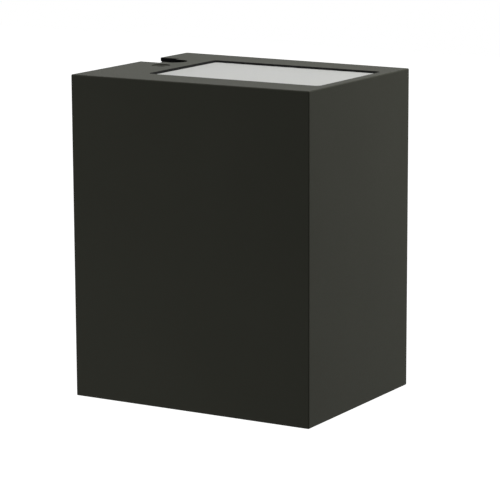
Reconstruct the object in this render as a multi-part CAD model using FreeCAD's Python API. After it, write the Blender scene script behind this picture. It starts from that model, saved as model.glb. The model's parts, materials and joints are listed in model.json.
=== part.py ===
import FreeCAD, Part
import math
import os

# Outdoor up-and-down wall light. Millimetres. The wall is the plane Y = 0, the front faces -Y and Z is up.
# The origin is the middle of the wall bracket's screw pattern, on the wall.

# Housing
body_height = 149.0
body_depth = 122.0
width_at_wall = 97.0
width_at_front = 92.0
outer_chamfer = 0.4
rim_wall = 3.0
chamber_side_wall = 5.5
front_wall = 5.0
casting_round = 3.0
rebate_wall = 1.8

# Windows, one in the top face and one in the bottom face
window_width = 57.3
window_front_margin = 5.2
window_back_wall = 2.1
window_round = 2.5
pane_recess = 0.85
pane_thickness = 4.0
pane_arris = 0.4
seal_thickness = 0.6
seal_rise = 0.55
ledge_width = 3.5
ledge_thickness = 2.0

# Cable notch in the wall edge of the top face, and the drain hole in the bottom face
notch_width = 17.0
notch_mouth_depth = 10.5
notch_seat_width = 11.0
notch_cover_margin = 2.0
notch_boss_gap = 0.9
drain_radius = 2.5
drain_offset = 32.0
drain_inset = 12.0

# Set screws that lock the housing on the bracket
set_screw_radius = 2.0
set_screw_socket = 2.0
set_screw_socket_depth = 2.2
set_screw_chamfer = 0.4
set_screw_sink = 1.0
set_screw_tip_gap = 0.3
set_boss_width = 14.0
set_boss_depth = 9.0
set_boss_height = 4.0
counterbore_radius = 4.3
counterbore_depth = 0.5

# Wall bracket
bracket_thickness = 2.0
bracket_round = 4.0
bracket_lip_depth = 4.5
bracket_lip_margin = 8.0
bracket_lip_round = 2.0
bend_radius = 1.5
tab_width = 26.0
tab_notch_gap = 1.3
tab_depth = 20.2
tab_gap = 0.3
slot_spacing_across = 36.0
slot_tab_inset = 17.2
slot_width = 5.0
slot_length = 10.0
slot_side_margin = 5.0
slot_end_margin = 8.0
entry_width = 34.0
entry_height = 44.0
entry_round = 6.0
grommet_wall = 1.5
grommet_flange = 3.0

# Wall gasket
wall_gasket_width = 4.0
wall_gasket_thickness = 3.0
gasket_fit = 0.1
gasket_notch_margin = 0.5

# Rear cover, its gasket and its screws
cover_thickness = 3.0
cover_clearance = 0.5
cover_gasket_thickness = 1.5
gasket_screw_margin = 1.9
cover_boss_half = 4.5
cover_boss_length = 14.0
cover_screw_inset = 2.5
cover_screw_length = 11.0
locating_rib_width = 1.6
locating_rib_height = 1.5
locating_rib_gap = 0.3

# Hexagon-head screws, all M3
screw_radius = 1.5
screw_head_across = 5.5
screw_head_height = 2.0
screw_clearance = 0.05
hole_end_room = 1.0

# Light core, the aluminium tube that carries the boards and holds the driver
core_height = 40.0
core_wall = 3.0
core_side_gap = 3.5
core_front_gap = 10.5
core_channel = 6.8
core_screw_length = 12.0

# LED boards, LEDs and connectors
board_thickness = 1.6
board_side_edge = 6.0
board_front_edge = 3.0
led_size = 3.0
led_height = 0.9
led_rows = 4
led_margin = 3.2
connector_width = 7.0
connector_length = 4.4
connector_height = 4.0
connector_offset = 12.0
connector_edge = 1.0
connector_gap = 1.4

# Reflectors, each with a foot and two legs that snap through the board and the core
reflector_wall = 1.2
reflector_foot = 1.5
reflector_gap = 0.4
reflector_corner = 5.0
foot_side_gap = 1.8
foot_side_rim = 7.2
foot_end_rim = 2.0
snap_leg_thickness = 1.6
snap_leg_width = 8.0
snap_leg_gap = 0.2
snap_barb = 0.8
snap_barb_height = 1.0

# Driver
driver_side_gap = 0.9
driver_front_gap = 17.5
driver_round = 2.0
driver_setback = 4.5
driver_pad_thickness = 2.0
driver_foam_thickness = 4.0

# Terminal block
terminal_offset = 14.0
terminal_level = 34.0
terminal_wall_gap = 7.5
pole_pitch = 8.0
pole_count = 3
terminal_end = 1.5
terminal_length = 20.0
terminal_depth = 14.0
clamp_width = 5.0
clamp_depth = 6.0
clamp_length = 16.0
clamp_gap = 0.1
clamp_opening = 3.2
clamp_rise = 4.0
terminal_screw_radius = 1.9
terminal_screw_length = 3.4
terminal_screw_slot = 0.7
terminal_screw_spacing = 9.0
terminal_well_gap = 0.25

# Lead elbow and breather in the rear cover
elbow_offset = 10.0
elbow_level = -4.0
elbow_width = 12.0
elbow_rise = 7.5
elbow_chamfer = 0.8
elbow_nose_length = 12.0
elbow_nose_width = 7.0
elbow_neck_radius = 4.0
elbow_wall = 0.5
breather_offset = -24.0
breather_level = 33.0
breather_across = 11.0
breather_height = 4.0
breather_stem_radius = 3.0
breather_stem_length = 7.0

# Leads, lug and earth screw
lead_diameter = 2.2
lead_spacing = 2.8
lead_insert = 5.0
driver_lead_insert = 2.0
board_lead_thickness = 1.4
board_lead_width = 2.8
board_lead_level = 5.0
board_lead_clearance = 4.5
lead_arc_share = 0.45
lead_bend_share = 0.3
lead_bend_steps = 2
earth_side_margin = 7.0
earth_level = -12.0
earth_boss_radius = 4.5
earth_boss_height = 2.0
earth_screw_radius = 2.0
earth_screw_across = 7.0
earth_screw_head_height = 2.8
earth_screw_length = 4.6
lug_radius = 4.0
lug_thickness = 0.9
lug_barrel_radius = 1.8
lug_barrel_start = 4.2
lug_barrel_length = 5.0
lug_lead_insert = 2.5

# How far a cut runs past a face
overrun = 1.0

# Depths from the wall: the wiring bay is as deep as the terminal block and the cover need
bay_depth = terminal_depth + terminal_wall_gap + cover_thickness + cover_gasket_thickness
cover_front = -(bay_depth - cover_gasket_thickness)
cover_back = cover_front + cover_thickness
boss_front = cover_back + cover_clearance
set_screw_y = boss_front + set_boss_depth / 2
notch_depth = -cover_back - notch_cover_margin
window_length = body_depth - window_front_margin - bay_depth - window_back_wall
window_middle = -(body_depth - window_front_margin - window_length / 2)
chamber_front = -(body_depth - front_wall)
core_end = chamber_front + core_front_gap
board_front = core_end + board_front_edge
driver_back = cover_front - driver_setback
driver_front = core_end + driver_front_gap

# Heights
half_height = body_height / 2
pane_bottom = half_height - pane_recess - pane_thickness
pocket_floor = pane_bottom - seal_thickness
bay_half_height = half_height - rim_wall
chamber_half_height = pocket_floor - ledge_thickness
boss_low = bay_half_height - set_boss_height
tab_face = boss_low - tab_gap
slot_spacing_up = 2 * (tab_face - slot_tab_inset)
bracket_half_height = slot_spacing_up / 2 + slot_end_margin
core_inside = core_height / 2 - core_wall
board_face = core_height / 2 + board_thickness
foot_face = board_face + reflector_foot

# Widths
half_at_wall = width_at_wall / 2
half_at_front = width_at_front / 2
half_at_cover = half_at_wall - (half_at_wall - half_at_front) * bay_depth / body_depth
opening_width = window_width - 2 * ledge_width
opening_length = window_length - 2 * ledge_width
notch_offset = set_boss_width / 2 + notch_boss_gap + notch_width / 2
tab_right = notch_offset - notch_width / 2 - tab_notch_gap
bracket_width = slot_spacing_across + slot_length + 2 * slot_side_margin
cover_screw_across = half_at_cover - chamber_side_wall - cover_screw_inset
cover_screw_up = chamber_half_height - cover_screw_inset
core_width = 2 * (cover_screw_across - cover_boss_half - core_side_gap)
board_width = core_width - 2 * board_side_edge
board_length = 2 * (window_middle - board_front)
foot_width = board_width - 2 * foot_side_gap
foot_length = board_length - 2 * (connector_gap + connector_length + connector_edge)
throat_width = foot_width - 2 * foot_side_rim
throat_length = foot_length - 2 * foot_end_rim
snap_leg_x = foot_width / 2 - foot_side_rim / 2
driver_half_width = core_width / 2 - core_wall - core_channel - driver_side_gap
earth_offset = half_at_cover - rim_wall - earth_side_margin
terminal_width = pole_pitch * pole_count + 2 * terminal_end
terminal_face = cover_back + terminal_depth
clamp_y = cover_back + clamp_rise + clamp_depth / 2
screw_hole_radius = screw_radius + screw_clearance
elbow_nose_y = cover_back + elbow_rise / 2
elbow_nose_top = elbow_level + elbow_nose_length

back = FreeCAD.Vector(0, 1, 0)
front = FreeCAD.Vector(0, -1, 0)
up = FreeCAD.Vector(0, 0, 1)
down = FreeCAD.Vector(0, 0, -1)
names = []


def vec(x, y, z):
    return FreeCAD.Vector(x, y, z)


def block(x_low, x_high, y_low, y_high, z_low, z_high):
    return Part.makeBox(x_high - x_low, y_high - y_low, z_high - z_low, vec(x_low, y_low, z_low))


def rod(radius, start, direction, length):
    return Part.makeCylinder(radius, length, start, direction)


def upside_down(shape):
    """The same piece for the bottom of the lamp."""
    return shape.mirror(vec(0, 0, 0), up)


def edges_along(shape, axis):
    """The straight edges that run nearer to an axis than to any other, so that tapered sides count too."""
    found = []
    for edge in shape.Edges:
        if edge.Curve.TypeId == "Part::GeomLine":
            run = edge.Vertexes[-1].Point - edge.Vertexes[0].Point
            if abs(run.normalize().dot(axis)) > math.cos(math.radians(45)):
                found.append(edge)
    return found


def tapered_block(inset, y_back, y_front, z_half, corner=0):
    """A block that keeps one distance from the housing's two tapered sides, from y_back to y_front."""
    taper = (half_at_wall - half_at_front) / body_depth
    far = half_at_wall + taper * y_back - inset
    near = half_at_wall + taper * y_front - inset
    points = [
        vec(-far, y_back, -z_half),
        vec(far, y_back, -z_half),
        vec(near, y_front, -z_half),
        vec(-near, y_front, -z_half),
    ]
    plan = Part.Face(Part.makePolygon(points + points[:1]))
    solid = plan.extrude(up * (2 * z_half))
    if corner > 0:
        solid = solid.makeFillet(corner, edges_along(solid, back))
    return solid


def window_block(size_x, size_y, z_low, z_high, corner=0):
    """An upright block round the middle of the window."""
    y_low = window_middle - size_y / 2
    solid = block(-size_x / 2, size_x / 2, y_low, y_low + size_y, z_low, z_high)
    if corner > 0:
        solid = solid.makeFillet(corner, edges_along(solid, up))
    return solid


def wall_block(size_x, size_z, corner, y_low, y_high):
    """A block with rounded corners round the lamp's middle, through a wall that faces Y."""
    solid = block(-size_x / 2, size_x / 2, y_low, y_high, -size_z / 2, size_z / 2)
    return solid.makeFillet(corner, edges_along(solid, back))


def slot_prism(x, z, y_low, y_high):
    """A screw slot with round ends, through the bracket's plate."""
    radius = slot_width / 2
    far = vec(x + slot_length / 2 - radius, y_low, z)
    near = vec(x - slot_length / 2 + radius, y_low, z)
    side = up * radius
    end = vec(radius, 0, 0)
    wire = Part.Wire(
        [
            Part.Arc(far + side, far + end, far - side).toShape(),
            Part.makeLine(far - side, near - side),
            Part.Arc(near - side, near - end, near + side).toShape(),
            Part.makeLine(near + side, far + side),
        ]
    )
    return Part.Face(wire).extrude(back * (y_high - y_low))


def hexagon(across_flats, foot, direction, height):
    """A six-sided prism on its foot, for a screw's head or its socket."""
    side = vec(1, 0, 0)
    other = direction.cross(side)
    corner = across_flats / math.sqrt(3)
    points = []
    for index in range(6):
        angle = math.radians(60 * index)
        points.append(foot + (side * math.cos(angle) + other * math.sin(angle)) * corner)
    return Part.Face(Part.makePolygon(points + points[:1])).extrude(direction * height)


def bend_corner(before, corner, after):
    """The largest arc that a corner's two runs allow: how far back it starts, and its radius."""
    towards = (before - corner).normalize()
    away = (after - corner).normalize()
    half_turn = (math.pi - towards.getAngle(away)) / 2
    trim = lead_arc_share * min(corner.distanceToPoint(before), corner.distanceToPoint(after))
    return towards, away, half_turn, trim, trim / math.tan(half_turn)


def flat_lead(points, thickness, width):
    """A flat twin lead along straight runs joined by arcs. It bends in a plane of constant x."""
    corners = [vec(*point) for point in points]
    edges = []
    last = corners[0]
    for before, corner, after in zip(corners, corners[1:], corners[2:]):
        towards, away, half_turn, trim, radius = bend_corner(before, corner, after)
        middle = corner + (towards + away).normalize() * (radius / math.cos(half_turn) - radius)
        start = corner + towards * trim
        end = corner + away * trim
        edges += [Part.makeLine(last, start), Part.Arc(start, middle, end).toShape()]
        last = end
    edges.append(Part.makeLine(last, corners[-1]))
    x, y, z = corners[0]
    low = z - thickness / 2
    left = x - width / 2
    section = Part.makePolygon(
        [
            vec(left, y, low),
            vec(left + width, y, low),
            vec(left + width, y, low + thickness),
            vec(left, y, low + thickness),
            vec(left, y, low),
        ]
    )
    return Part.Wire(edges).makePipeShell([section], True, False)


def round_lead(points, diameter, name):
    """A round lead. Each bend is a few straight steps along its arc, to keep the number of facets low."""
    corners = [vec(*point) for point in points]
    path = corners[:1]
    for before, corner, after in zip(corners, corners[1:], corners[2:]):
        towards, away, half_turn, trim, radius = bend_corner(before, corner, after)
        centre = corner + (towards + away).normalize() * (radius / math.cos(half_turn))
        out = (corner + towards * trim - centre).normalize()
        along = -towards
        step = 2 * half_turn / lead_bend_steps
        for index in range(lead_bend_steps):
            angle = (index + 0.5) * step
            spoke = out * math.cos(angle) + along * math.sin(angle)
            path.append(centre + spoke * (radius / math.cos(step / 2)))
    path.append(corners[-1])
    section = Part.Wire(Part.makeCircle(diameter / 2, path[0], path[1] - path[0]))
    mitred = 1
    lead = Part.makePolygon(path).makePipeShell([section], True, False, mitred)
    share = lead.Volume / (math.pi * (diameter / 2) ** 2 * Part.makePolygon(path).Length)
    print(name, "volume share", round(share, 3))
    return lead


def save(name, shape):
    """Writes one sub-part. A group of identical pieces is written as separate solids."""
    solids = shape.Solids
    whole = solids[0] if len(solids) == 1 else Part.makeCompound(solids)
    whole.exportStep("parts/" + name + ".step")
    names.append(name)
    print(name, "solids", len(solids), "volume", round(sum(solid.Volume for solid in solids), 1))


# Screws
def hex_screw(seat, direction, length):
    """A screw with a hexagonal head. seat is the middle of the head's flat side."""
    head = hexagon(screw_head_across, seat, -direction, screw_head_height)
    return head.fuse(rod(screw_radius, seat, direction, length))


def cover_screw_places():
    """One in each corner of the chamber."""
    return [(side * cover_screw_across, level * cover_screw_up) for side in (-1, 1) for level in (-1, 1)]


def core_screw_places():
    """One in the middle of each channel of the light core."""
    across = core_width / 2 - core_wall - core_channel / 2
    return [(-across, 0), (across, 0)]


# Housing
def notch_space(margin, z_low, z_high):
    """The cable notch: a wide mouth towards the wall, and a narrower round seat where the cable lies."""
    half = notch_width / 2 + margin
    radius = notch_seat_width / 2 + margin
    centre_y = notch_seat_width / 2 - notch_depth
    y_mouth = -notch_mouth_depth - margin
    seat = rod(radius, vec(notch_offset, centre_y, z_low), up, z_high - z_low)
    throat = block(notch_offset - radius, notch_offset + radius, centre_y, overrun, z_low, z_high)
    mouth = block(notch_offset - half, notch_offset + half, y_mouth, overrun, z_low, z_high)
    return seat.fuse([throat, mouth])


def set_screw_boss():
    """The pad under the top wall that the set screw is tapped through."""
    half = set_boss_width / 2
    return block(-half, half, boss_front, boss_front + set_boss_depth, boss_low, bay_half_height + overrun)


def set_screw_hole():
    top = vec(0, set_screw_y, half_height + overrun)
    tapped = rod(set_screw_radius + screw_clearance, top, down, rim_wall + set_boss_height + 2 * overrun)
    mouth = rod(counterbore_radius, top, down, counterbore_depth + overrun)
    return tapped.fuse(mouth)


def window_space():
    """The pocket that the pane lies in and the smaller opening through its ledge."""
    pocket = window_block(window_width, window_length, pocket_floor, half_height + overrun, window_round)
    low = chamber_half_height - overrun
    return pocket.fuse(window_block(opening_width, opening_length, low, half_height))


def corner_posts(inset, y_back, y_front, z_half):
    """Square posts that fill the chamber's corners round the cover screws, as far out as an inset wall."""
    walls = tapered_block(inset, y_back, y_front, z_half)
    posts = []
    for x, z in cover_screw_places():
        x_low, x_high = sorted((x - math.copysign(cover_boss_half, x), math.copysign(half_at_wall, x)))
        z_low, z_high = sorted((z - math.copysign(cover_boss_half, z), math.copysign(half_height, z)))
        posts.append(block(x_low, x_high, y_front, y_back, z_low, z_high).common(walls))
    return posts


def make_housing():
    shell = tapered_block(0, 0, -body_depth, half_height)
    outside = [edge for edge in shell.Edges if edge.BoundBox.YMin < -overrun]
    shell = shell.makeChamfer(outer_chamfer, outside)
    bay = tapered_block(rim_wall, overrun, -bay_depth, bay_half_height, casting_round)
    rebate = tapered_block(rebate_wall, overrun, -wall_gasket_thickness, half_height - rebate_wall)
    chamber = tapered_block(chamber_side_wall, -bay_depth, chamber_front, chamber_half_height)
    shell = shell.cut([bay, rebate, chamber])
    posts = corner_posts(rim_wall, -bay_depth, -bay_depth - cover_boss_length, bay_half_height)
    shell = shell.fuse(posts + [set_screw_boss(), upside_down(set_screw_boss())])
    cuts = [window_space(), upside_down(window_space()), set_screw_hole(), upside_down(set_screw_hole())]
    cuts.append(notch_space(0, boss_low - overrun, half_height + overrun))
    drain_foot = vec(-drain_offset, -drain_inset, -half_height - overrun)
    cuts.append(rod(drain_radius, drain_foot, up, rim_wall + 2 * overrun))
    depth = cover_screw_length - cover_thickness - cover_gasket_thickness + hole_end_room
    for x, z in cover_screw_places():
        cuts.append(rod(screw_hole_radius, vec(x, overrun - bay_depth, z), front, depth + overrun))
    save("housing", shell.cut(cuts).removeSplitter())


def make_set_screws():
    top = half_height - set_screw_sink
    tip = tab_face + set_screw_tip_gap
    body = rod(set_screw_radius, vec(0, set_screw_y, tip), up, top - tip)
    ends = [edge for edge in body.Edges if edge.BoundBox.ZLength < screw_clearance]
    body = body.makeChamfer(set_screw_chamfer, ends)
    depth = set_screw_socket_depth
    screw = body.cut(hexagon(set_screw_socket, vec(0, set_screw_y, top - depth), up, depth + overrun))
    save("set_screw_top", screw)
    save("set_screw_bottom", upside_down(screw))


# Windows
def make_windows():
    pane_width = window_width - 2 * seal_thickness
    pane_length = window_length - 2 * seal_thickness
    pane_top = pane_bottom + pane_thickness
    seal = window_block(window_width, window_length, pocket_floor, pane_top + seal_rise, window_round)
    inner_round = window_round - seal_thickness
    well = window_block(pane_width, pane_length, pane_bottom, half_height, inner_round)
    low = pocket_floor - overrun
    opening = window_block(opening_width, opening_length, low, pane_bottom + overrun)
    seal = seal.cut([well, opening])
    pane = window_block(pane_width, pane_length, pane_bottom, pane_top, inner_round)
    face_edges = [edge for edge in pane.Edges if edge.BoundBox.ZMin > pane_bottom + pane_thickness / 2]
    pane = pane.makeChamfer(pane_arris, face_edges)
    save("window_pane_top", pane)
    save("window_pane_bottom", upside_down(pane))
    save("window_seal_top", seal)
    save("window_seal_bottom", upside_down(seal))


# Wall bracket
def bent_tab():
    """The upper tab, bent forward from the plate round a quarter turn."""
    left = tab_right - tab_width
    outer = bend_radius + bracket_thickness
    inside = tab_face - bracket_thickness
    root = bracket_half_height - bracket_round
    centre = vec(left, -outer, tab_face - outer)
    slant = (back + up).normalize()
    corners = [
        vec(left, -bracket_thickness, root),
        vec(left, 0, root),
        vec(left, 0, tab_face - outer),
        vec(left, -outer, tab_face),
        vec(left, -tab_depth, tab_face),
        vec(left, -tab_depth, inside),
        vec(left, -outer, inside),
        vec(left, -bracket_thickness, tab_face - outer),
    ]
    edges = [Part.makeLine(first, second) for first, second in zip(corners, corners[1:] + corners[:1])]
    edges[2] = Part.Arc(corners[2], centre + slant * outer, corners[3]).toShape()
    edges[6] = Part.Arc(corners[6], centre + slant * bend_radius, corners[7]).toShape()
    tab = Part.Face(Part.Wire(edges)).extrude(vec(tab_width, 0, 0))
    tip = [edge for edge in edges_along(tab, up) if edge.BoundBox.YMax < overrun - tab_depth]
    return tab.makeFillet(bracket_round, tip)


def stiffening_lip(side):
    """A flange folded forward along one side of the plate, with its two free corners rounded."""
    outer = side * bracket_width / 2
    inner = side * (bracket_width / 2 - bracket_thickness)
    half = bracket_half_height - bracket_lip_margin
    low, high = sorted((outer, inner))
    lip = block(low, high, -bracket_lip_depth, -bracket_thickness, -half, half)
    middle = -(bracket_lip_depth + bracket_thickness) / 2
    free = [edge for edge in edges_along(lip, vec(1, 0, 0)) if edge.BoundBox.YMax < middle]
    return lip.makeFillet(bracket_lip_round, free)


def make_wall_bracket():
    half = bracket_width / 2
    plate = block(-half, half, -bracket_thickness, 0, -bracket_half_height, bracket_half_height)
    plate = plate.makeFillet(bracket_round, edges_along(plate, back))
    tabs = [bent_tab(), upside_down(bent_tab())]
    plate = plate.fuse(tabs + [stiffening_lip(-1), stiffening_lip(1)])
    y_low = -bracket_thickness - overrun
    cuts = [wall_block(entry_width, entry_height, entry_round, y_low, overrun)]
    for side in (-1, 1):
        for level in (-1, 1):
            x = side * slot_spacing_across / 2
            z = level * slot_spacing_up / 2
            cuts.append(slot_prism(x, z, y_low, overrun))
    save("wall_bracket", plate.cut(cuts).removeSplitter())


def make_entry_grommet():
    y_plate = -bracket_thickness
    y_front = y_plate - grommet_wall
    wide = 2 * grommet_flange
    inset = 2 * grommet_wall
    corner = entry_round + grommet_flange
    sleeve = wall_block(entry_width, entry_height, entry_round, y_plate, 0)
    flange = wall_block(entry_width + wide, entry_height + wide, corner, y_front, y_plate)
    corner = entry_round - grommet_wall
    hole = wall_block(entry_width - inset, entry_height - inset, corner, y_front - overrun, overrun)
    save("entry_grommet", sleeve.fuse(flange).cut(hole).removeSplitter())


def make_wall_gasket():
    outer = rebate_wall + gasket_fit
    inner = outer + wall_gasket_width
    y_front = -wall_gasket_thickness
    frame = tapered_block(outer, 0, y_front, half_height - outer)
    middle = tapered_block(inner, overrun, y_front - overrun, half_height - inner)
    gap = notch_space(gasket_notch_margin, half_height - inner - overrun, half_height)
    save("wall_gasket", frame.cut([middle, gap]))


# Rear cover
def cover_outline(y_back, y_front):
    inset = rim_wall + cover_clearance
    return tapered_block(inset, y_back, y_front, half_height - inset, casting_round - cover_clearance)


def locating_ribs():
    """Two ribs on the cover's front that the light core stands between."""
    y_low = cover_front - locating_rib_height
    near = core_width / 2 + locating_rib_gap
    ribs = []
    for side in (-1, 1):
        low, high = sorted((side * near, side * (near + locating_rib_width)))
        ribs.append(block(low, high, y_low, cover_front, -core_inside, core_inside))
    return ribs


def make_rear_cover():
    earth_boss = rod(earth_boss_radius, vec(earth_offset, cover_back, earth_level), back, earth_boss_height)
    plate = cover_outline(cover_back, cover_front).fuse(locating_ribs() + [earth_boss])
    screws = cover_screw_places() + core_screw_places() + terminal_fixing_places()
    holes = [(x, z, screw_hole_radius) for x, z in screws]
    holes.append((elbow_offset, elbow_level, elbow_neck_radius))
    holes.append((breather_offset, breather_level, breather_stem_radius))
    through = cover_thickness + 2 * overrun
    cuts = [rod(radius, vec(x, cover_back + overrun, z), front, through) for x, z, radius in holes]
    mouth = cover_back + earth_boss_height + overrun
    depth = earth_boss_height + cover_thickness + 2 * overrun
    tapped_radius = earth_screw_radius + screw_clearance
    cuts.append(rod(tapped_radius, vec(earth_offset, mouth, earth_level), front, depth))
    save("rear_cover", plate.cut(cuts).removeSplitter())


def make_cover_gasket():
    ring = cover_outline(cover_front, -bay_depth)
    y_back = cover_front + overrun
    y_front = -bay_depth - overrun
    middle = tapered_block(chamber_side_wall, y_back, y_front, chamber_half_height)
    inset = rim_wall + cover_clearance
    posts = corner_posts(inset, cover_front, -bay_depth, half_height - inset)
    ears = [post.common(ring) for post in posts]
    notches = []
    for x, z in cover_screw_places():
        x_low, x_high = sorted((x - math.copysign(gasket_screw_margin, x), math.copysign(half_at_wall, x)))
        z_low, z_high = sorted((z - math.copysign(gasket_screw_margin, z), math.copysign(half_height, z)))
        notches.append(block(x_low, x_high, y_front, y_back, z_low, z_high))
    save("cover_gasket", ring.cut(middle).fuse(ears).cut(notches).removeSplitter())


def make_cover_screws():
    screws = [hex_screw(vec(x, cover_back, z), front, cover_screw_length) for x, z in cover_screw_places()]
    save("cover_screws", Part.makeCompound(screws))
    screws = [hex_screw(vec(x, cover_back, z), front, core_screw_length) for x, z in core_screw_places()]
    save("core_screws", Part.makeCompound(screws))


# Light core and optics
def snap_leg_slots(z_low, z_high):
    """The slots for the two legs of the upper reflector."""
    half_x = snap_leg_thickness / 2 + snap_leg_gap + snap_barb / 2
    half_y = snap_leg_width / 2 + snap_leg_gap
    y_low = window_middle - half_y
    y_high = window_middle + half_y
    places = [side * (snap_leg_x + snap_barb / 2) for side in (-1, 1)]
    return [block(x - half_x, x + half_x, y_low, y_high, z_low, z_high) for x in places]


def make_light_core():
    """An extruded tube with a screw channel on each side."""
    half_x = core_width / 2
    half_z = core_height / 2
    tube = block(-half_x, half_x, core_end, cover_front, -half_z, half_z)
    inner_x = half_x - core_wall
    y_low = core_end - overrun
    tube = tube.cut(block(-inner_x, inner_x, y_low, cover_front + overrun, -core_inside, core_inside))
    half = core_channel / 2
    channels = [
        block(x - half, x + half, core_end, cover_front, z - half, z + half) for x, z in core_screw_places()
    ]
    depth = core_screw_length - cover_thickness + hole_end_room
    cuts = snap_leg_slots(core_inside - overrun, half_z + overrun)
    cuts += [upside_down(slot) for slot in cuts]
    for x, z in core_screw_places():
        cuts.append(rod(screw_hole_radius, vec(x, cover_front + overrun, z), front, depth + overrun))
    save("light_core", tube.fuse(channels).cut(cuts).removeSplitter())


def led_places():
    """A grid of LEDs that fills the reflector's throat."""
    places = []
    for across in range(led_rows):
        for along in range(led_rows):
            x, y = [
                (index / (led_rows - 1) - 0.5) * (throat - led_size - 2 * led_margin)
                for index, throat in ((across, throat_width), (along, throat_length))
            ]
            places.append((x, window_middle + y))
    return places


def make_led_boards():
    low = core_height / 2
    board = window_block(board_width, board_length, low, board_face)
    board = board.cut(snap_leg_slots(low - overrun, board_face + overrun))
    half = led_size / 2
    top = board_face + led_height
    leds = [block(x - half, x + half, y - half, y + half, board_face, top) for x, y in led_places()]
    half = connector_width / 2
    left = connector_offset - half
    y_low = board_front + connector_edge
    y_high = y_low + connector_length
    connector = block(left, left + connector_width, y_low, y_high, board_face, board_face + connector_height)
    half = board_lead_width / 2
    left = connector_offset - half
    z_low = board_face + (connector_height - board_lead_thickness) / 2
    z_high = z_low + board_lead_thickness
    plug_y = y_low + connector_length / 2
    socket = block(left, left + board_lead_width, y_low - overrun, plug_y, z_low, z_high)
    connector = connector.cut(socket)
    save("led_board_top", board)
    save("led_board_bottom", upside_down(board))
    save("leds_top", Part.makeCompound(leds))
    save("leds_bottom", upside_down(Part.makeCompound(leds)))
    save("board_connectors", Part.makeCompound([connector, upside_down(connector)]))


def mitred_corners(size_x, size_y, z):
    """The corners of a rectangle round the middle of the window, each cut at 45 degrees."""
    half_x = size_x / 2
    half_y = size_y / 2
    corner = reflector_corner
    points = []
    for sign_x, sign_y in ((1, 1), (-1, 1), (-1, -1), (1, -1)):
        on_side = vec(sign_x * half_x, window_middle + sign_y * (half_y - corner), z)
        on_end = vec(sign_x * (half_x - corner), window_middle + sign_y * half_y, z)
        points += [on_side, on_end] if sign_x == sign_y else [on_end, on_side]
    return points


def funnel(inset):
    """The reflector's outside, or with the wall as inset its inside, from the board to below the pane."""
    throat_x = throat_width + 2 * reflector_wall - 2 * inset
    throat_y = throat_length + 2 * reflector_wall - 2 * inset
    mouth_x = opening_width - 2 * reflector_gap - 2 * inset
    mouth_y = opening_length - 2 * reflector_gap - 2 * inset
    low = mitred_corners(throat_x, throat_y, board_face)
    high = mitred_corners(mouth_x, mouth_y, pane_bottom - reflector_gap)
    outlines = [low, high]
    for index in range(len(low)):
        outlines.append([low[index - 1], low[index], high[index], high[index - 1]])
    faces = [Part.Face(Part.makePolygon(points + points[:1])) for points in outlines]
    return Part.Solid(Part.Shell(faces))


def snap_leg(side):
    """A leg of the upper reflector. Its barb hooks outwards under the core's wall."""
    inner = snap_leg_x - snap_leg_thickness / 2
    outer = snap_leg_x + snap_leg_thickness / 2
    barb_top = core_inside - snap_leg_gap
    barb_low = barb_top - snap_barb_height
    outline = [
        vec(inner, window_middle, board_face),
        vec(outer, window_middle, board_face),
        vec(outer, window_middle, barb_top),
        vec(outer + snap_barb, window_middle, barb_top),
        vec(outer, window_middle, barb_low),
        vec(inner, window_middle, barb_low),
    ]
    leg = Part.Face(Part.makePolygon(outline + outline[:1])).extrude(back * snap_leg_width)
    leg.translate(front * (snap_leg_width / 2))
    return leg if side > 0 else leg.mirror(vec(0, 0, 0), vec(1, 0, 0))


def make_reflectors():
    """A white funnel with a foot on the board."""
    foot = window_block(foot_width, foot_length, board_face, foot_face)
    reflector = funnel(0).fuse([foot, snap_leg(-1), snap_leg(1)]).cut(funnel(reflector_wall))
    reflector = reflector.removeSplitter()
    save("reflector_top", reflector)
    save("reflector_bottom", upside_down(reflector))


# Driver
def make_driver():
    """A potted driver on a thermal pad, held down by a block of foam."""
    half = driver_half_width
    low = driver_pad_thickness - core_inside
    high = core_inside - driver_foam_thickness
    case = block(-half, half, driver_front, driver_back, low, high)
    case = case.makeFillet(driver_round, edges_along(case, back))
    inner = half - 2 * driver_round
    y_low = driver_front + driver_round
    y_high = driver_back - driver_round
    save("driver_case", case)
    save("driver_pad", block(-inner, inner, y_low, y_high, -core_inside, low))
    save("driver_foam", block(-inner, inner, y_low, y_high, high, core_inside))


def driver_lead(y_low, y_high):
    """The flat twin lead between the driver and the elbow."""
    half_x = lead_spacing / 2 + lead_diameter / 2
    half_z = lead_diameter / 2
    left = elbow_offset - half_x
    low = elbow_level - half_z
    return block(left, left + 2 * half_x, y_low, y_high, low, low + lead_diameter)


def make_driver_leads():
    """The driver's mains lead to the elbow, and its output leads forward, round and back into the boards."""
    save("driver_leads", driver_lead(driver_back, cover_front + driver_lead_insert))
    plug_y = board_front + connector_edge + connector_length / 2
    plug_z = board_face + connector_height / 2
    reach = core_end - board_lead_clearance
    for sign, name in ((1, "board_lead_top"), (-1, "board_lead_bottom")):
        points = [
            (connector_offset, driver_front, sign * board_lead_level),
            (connector_offset, reach, sign * board_lead_level),
            (connector_offset, reach, sign * plug_z),
            (connector_offset, plug_y, sign * plug_z),
        ]
        save(name, flat_lead(points, board_lead_thickness, board_lead_width))


# Terminal block
def pole_places():
    first = -(pole_count - 1) / 2
    return [terminal_offset + (first + index) * pole_pitch for index in range(pole_count)]


def terminal_fixing_places():
    poles = pole_places()
    return [((left + right) / 2, terminal_level) for left, right in zip(poles, poles[1:])]


def clamp_block(x, margin):
    half_x = clamp_width / 2 + margin
    half_y = clamp_depth / 2 + margin
    half_z = clamp_length / 2 + margin
    z_low = terminal_level - half_z
    return block(x - half_x, x + half_x, clamp_y - half_y, clamp_y + half_y, z_low, z_low + 2 * half_z)


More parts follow.
